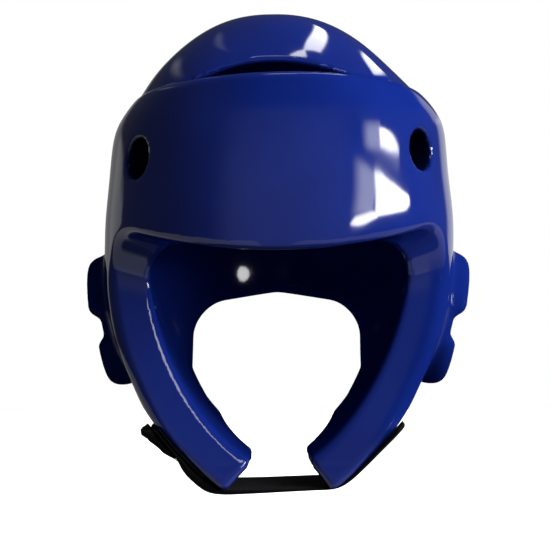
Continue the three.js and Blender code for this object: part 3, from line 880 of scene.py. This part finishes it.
# what the gloss mirrors, seen from the object: brightness, then corners that go round anticlockwise,
# each an azimuth, an elevation and the softness of the side that starts there
panes = {
    "windowUpper": (18.0, (69.5, 14.7, 0.12), (81.8, 13.2, 0.08), (88.6, 12.5, 0.12), (89.0, 13.0, 0.4),
                    (81.7, 15.0, 0.4), (75.5, 17.2, 0.4), (70.0, 17.3, 1.5)),
    "windowUpperHaze": (4.0, (56.0, 15.3, 0.5), (70.5, 14.4, 1.0), (71.5, 18.8, 2.6), (57.5, 19.3, 4.5)),
    "windowLower": (18.0, (57.5, 3.4, 0.4), (72.4, 4.4, 0.4), (89.0, 5.4, 0.6), (95.5, 7.2, 0.8),
                    (95.2, 8.8, 0.12), (80.8, 11.1, 0.1), (67.0, 12.9, 0.3), (61.5, 13.0, 1.5)),
    "windowTail": (18.0, (37.5, 2.0, 0.4), (41.2, 1.4, 0.35), (47.5, 1.5, 0.35), (60.0, 3.5, 0.5),
                   (57.0, 5.2, 0.6), (41.0, 3.7, 0.5)),
    "windowLowerHaze": (4.0, (41.0, 4.6, 1.0), (55.5, 5.0, 1.0), (62.0, 12.9, 0.5), (54.0, 13.8, 0.8),
                        (47.0, 14.0, 4.5)),
    "highWindow": (4.5, (14.0, 29.5, 2.5), (46.0, 29.5, 2.5), (46.0, 41.5, 2.5), (14.0, 41.5, 2.5)),
    "crownLamp": (7.0, (163.0, 41.2, 0.8), (168.2, 38.8, 1.2), (164.6, 47.0, 1.2), (154.8, 66.9, 1.2),
                  (148.0, 73.5, 1.2), (139.8, 66.6, 0.8)),
    "crownTail": (7.0, (139.0, 75.0, 0.8), (147.5, 72.5, 0.8), (158.0, 80.0, 1.0), (148.0, 81.0, 0.8)),
    "flankLamp": (4.5, (154.7, 30.8, 0.6), (157.3, 31.8, 0.6), (152.9, 37.0, 0.6), (147.0, 41.4, 0.6),
                  (142.8, 43.4, 0.6)),
    "leftLamp": (0.3, (-161.5, 41.0, 2.0), (-145.5, 57.0, 2.0), (-142.0, 64.5, 2.0), (-158.5, 47.5, 2.0)),
    "leftFlankLamp": (0.3, (-157.0, 27.0, 2.0), (-136.5, 37.5, 2.0), (-129.0, 44.0, 2.0),
                      (-149.0, 35.5, 2.0)),
    "leftWall": (0.38, (-150.0, -5.0, 6.0), (-126.0, -5.0, 1.5), (-127.5, 7.0, 1.5), (-150.0, 11.0, 5.0)),
    "farLeftWall": (0.19, (-185.0, -8.0, 3.0), (-150.0, -8.0, 5.0), (-150.0, 11.0, 3.0),
                    (-185.0, 18.0, 3.0)),
    "rightWall": (0.6, (147.0, -5.0, 4.0), (185.0, -6.0, 3.0), (185.0, 7.0, 1.2), (147.0, 13.0, 4.0)),
    "rightShoulder": (0.5, (142.0, 13.0, 2.0), (162.0, 10.0, 2.0), (158.0, 22.0, 2.0), (144.0, 24.0, 3.0)),
    "ceiling": (2.2, (-185.0, 84.0, 1.5), (185.0, 84.0, 3.0), (185.0, 95.0, 3.0), (-185.0, 95.0, 3.0)),
    "room": (0.125, (-30.0, -12.0, 12.0), (40.0, -12.0, 12.0), (40.0, 22.0, 12.0), (-30.0, 22.0, 12.0)),
    "tableLeft": (0.36, (-150.0, -56.0, 6.0), (-9.0, -56.0, 2.0), (-9.0, -9.5, 1.5), (-150.0, -9.5, 4.0)),
    "tableMiddle": (0.12, (-9.0, -60.0, 4.0), (9.0, -60.0, 2.0), (9.0, -11.0, 1.5), (-9.0, -11.0, 2.0)),
    "tableRight": (0.36, (9.0, -47.0, 3.0), (125.0, -47.0, 4.0), (125.0, -8.0, 1.5), (9.0, -9.5, 2.0)),
}


def makeFloor():
    # plain and pale, and neither mirrored in the gloss nor lighting the object
    half = studio["floorHalf"]
    mesh = bpy.data.meshes.new("floor")
    corners = [(-half, -half), (half, -half), (half, half), (-half, half)]
    mesh.from_pydata([(x, y, studio["floorZ"]) for x, y in corners], [], [(0, 1, 2, 3)])
    material, shader, _, _ = newMaterial("paleFloor")
    feed(shader, Base_Color=studio["floorColour"], Roughness=studio["floorRoughness"])
    mesh.materials.append(material)
    floor = bpy.data.objects.new("floor", mesh)
    bpy.context.scene.collection.objects.link(floor)
    floor.visible_glossy = False
    floor.visible_diffuse = False
    return floor


def newLamp(name, kind, power, place):
    # the object and its light data, at a place and not yet aimed
    data = bpy.data.lights.new(name, kind)
    data.energy = power
    lamp = bpy.data.objects.new(name, data)
    bpy.context.scene.collection.objects.link(lamp)
    lamp.location = place
    return lamp, data


def makeWash(floor):
    # a lamp over the far floor only, so that the floor behind the object is as white as the background
    lamp, data = newLamp("wash", "AREA", studio["washPower"], studio["washPlace"])
    data.shape = "RECTANGLE"
    data.size, data.size_y = studio["washSize"]
    lamp.visible_glossy = False
    washed = bpy.data.collections.new("washed")
    washed.objects.link(floor)
    lamp.light_linking.receiver_collection = washed


def skyward(azimuth, elevation):
    # unit vector: azimuth from the front to the right, then up by the elevation
    azimuth, elevation = math.radians(azimuth), math.radians(elevation)
    level = math.cos(elevation)
    return np.array([math.sin(azimuth) * level, -math.cos(azimuth) * level, math.sin(elevation)])


def makeLamp(name, form):
    # a soft lamp, aimed at the object's middle, that gives no mirror image, because the panes do that
    ahead = skyward(form["azimuth"], form["elevation"])
    middle = np.array([0.0, 0.0, studio["cameraPlace"][2]])
    lamp, data = newLamp(name, "AREA", form["power"], ahead * form["reach"] + middle)
    data.shape = "DISK"
    data.size = form["size"]
    lamp.rotation_euler = Vector(ahead).to_track_quat("Z", "Y").to_euler()
    lamp.visible_glossy = False


def makeGlint():
    # a small spot lamp from its place towards its aim
    lamp, data = newLamp("glint", "SPOT", glint["power"], glint["place"])
    data.spot_size = math.radians(glint["spread"])
    data.spot_blend = glint["blend"]
    data.shadow_soft_size = glint["radius"]
    ahead = Vector(glint["aim"]) - Vector(glint["place"])
    lamp.rotation_euler = ahead.to_track_quat("-Z", "Y").to_euler()
    lamp.visible_diffuse = False


def pane(azimuth, elevation, corners):
    # 1 inside a polygon of directions: one smooth step for each side, by the depth inside it
    mask = None
    for (a0, e0, soft), (a1, e1, _) in zip(corners, corners[1:] + corners[:1]):
        length = math.hypot(a1 - a0, e1 - e0)
        inA, inE = (e0 - e1) / length, (a1 - a0) / length
        depth = azimuth * inA + elevation * inE - (a0 * inA + e0 * inE)
        side = depth.between(-soft, soft)
        mask = side if mask is None else mask * side
    return mask


def makeWorld():
    # plain white to the eye, else a dim room with bright panes that light less than they show in the gloss
    world = bpy.data.worlds.new("studio")
    world.use_nodes = True
    bpy.context.scene.world = world
    tree = world.node_tree
    shader = tree.nodes["Background"]
    direction = Value(tree, tree.nodes.new("ShaderNodeTexCoord").outputs["Generated"])
    path = tree.nodes.new("ShaderNodeLightPath")
    toSee = Value(tree, path.outputs["Is Camera Ray"])
    toLight = Value(tree, path.outputs["Is Diffuse Ray"])
    x, y, z = direction.parts()
    azimuth = x.maths("ARCTAN2", x, y * -1.0) * math.degrees(1.0)
    elevation = z.maths("ARCSINE", z) * math.degrees(1.0)
    shown = 1.0 - (1.0 - studio["paneShare"]) * toLight
    light = studio["glow"]
    for brightness, *corners in panes.values():
        light = light + brightness * shown * pane(azimuth, elevation, corners)
    feed(shader, Color=(1.0, 1.0, 1.0, 1.0), Strength=toSee + (1.0 - toSee) * light)
    print("world:", len(panes), "panes")


def makeCamera():
    # level, facing the front of the object, with the photo's slight roll
    data = bpy.data.cameras.new("camera")
    data.lens = studio["lens"]
    data.sensor_width = studio["sensor"]
    camera = bpy.data.objects.new("camera", data)
    bpy.context.scene.collection.objects.link(camera)
    camera.location = studio["cameraPlace"]
    camera.rotation_mode = "XYZ"
    camera.rotation_euler = (math.pi / 2.0, math.radians(studio["cameraRoll"]), 0.0)
    bpy.context.scene.camera = camera


def dress(piece, node):
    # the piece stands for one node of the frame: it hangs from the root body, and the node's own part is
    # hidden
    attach(piece, "root")
    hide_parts(node)
    print(piece.name, "replaces", node)


bpy.context.scene.view_settings.view_transform = "Standard"  # a white background stays white
makeCamera()
makeWash(makeFloor())
for name, form in lamps.items():
    makeLamp(name, form)
makeGlint()
makeWorld()

shell = makeShell(dippedVinyl())
dress(shell, "shell")
dress(makeStrap(elasticWebbing()), "chin_strap")
dress(makeLoopPatch(pileTape("loopPile", pileFinish["loopTufts"])), "cheek_loop_patch")
dress(makeHookTab(pileTape("hookPile", pileFinish["hookTufts"])), "strap_hook_tab")
